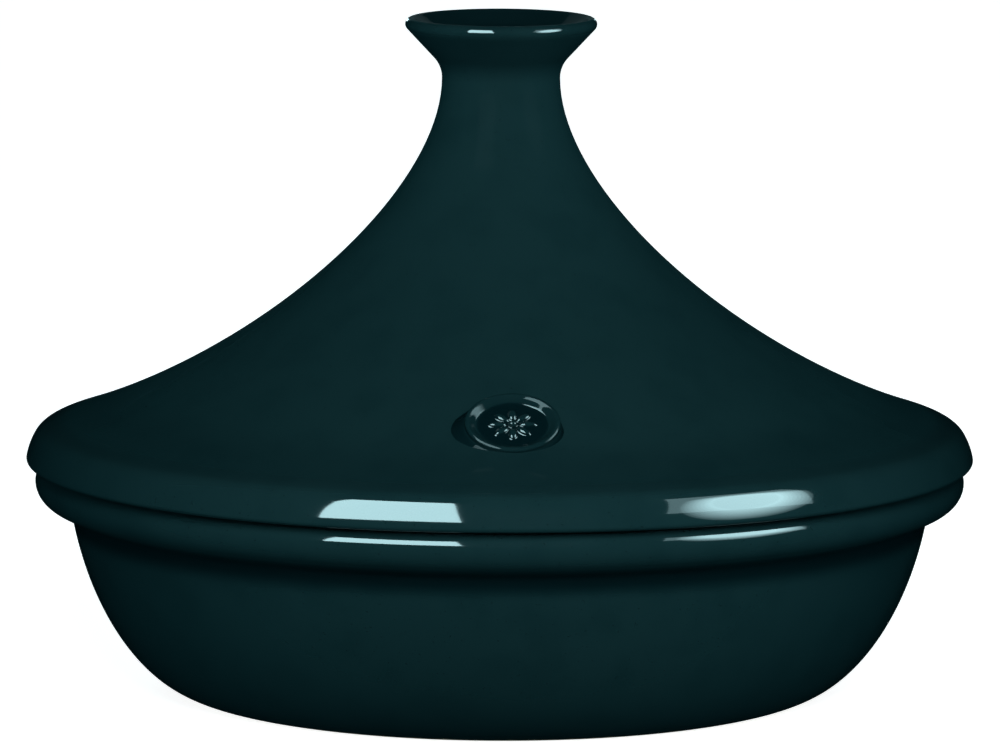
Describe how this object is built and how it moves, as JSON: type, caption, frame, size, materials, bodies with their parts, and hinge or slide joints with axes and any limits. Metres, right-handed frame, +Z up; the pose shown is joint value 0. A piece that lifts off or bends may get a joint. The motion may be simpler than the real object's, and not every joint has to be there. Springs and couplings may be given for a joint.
{
  "type": "tagine pot",
  "caption": "Tagine pot: shallow round glazed dish with a rolled rim band and a foot ring, under a tall flared conical lid with a hollow cup knob and an oval medallion; the lid lifts off.",
  "frame": {"origin": "centre of the foot ring, on the surface that the dish stands on", "axes": "+Z up along the pot's axis of revolution; -Y is the front, where the oval medallion is; +X is right, seen from the front"},
  "size_m": [0.32, 0.32, 0.228],
  "materials": {
    "glaze": "gloss"
  },
  "bodies": {
    "dish": {"base_dish": "glaze"},
    "lid": {"conical_lid": "glaze", "oval_medallion": "glaze"}
  },
  "joints": [
    {"name": "lid_lift", "type": "slide", "parent": "dish", "child": "lid", "axis": [0, 0, 1], "range_m": [0, 0.15]}
  ]
}
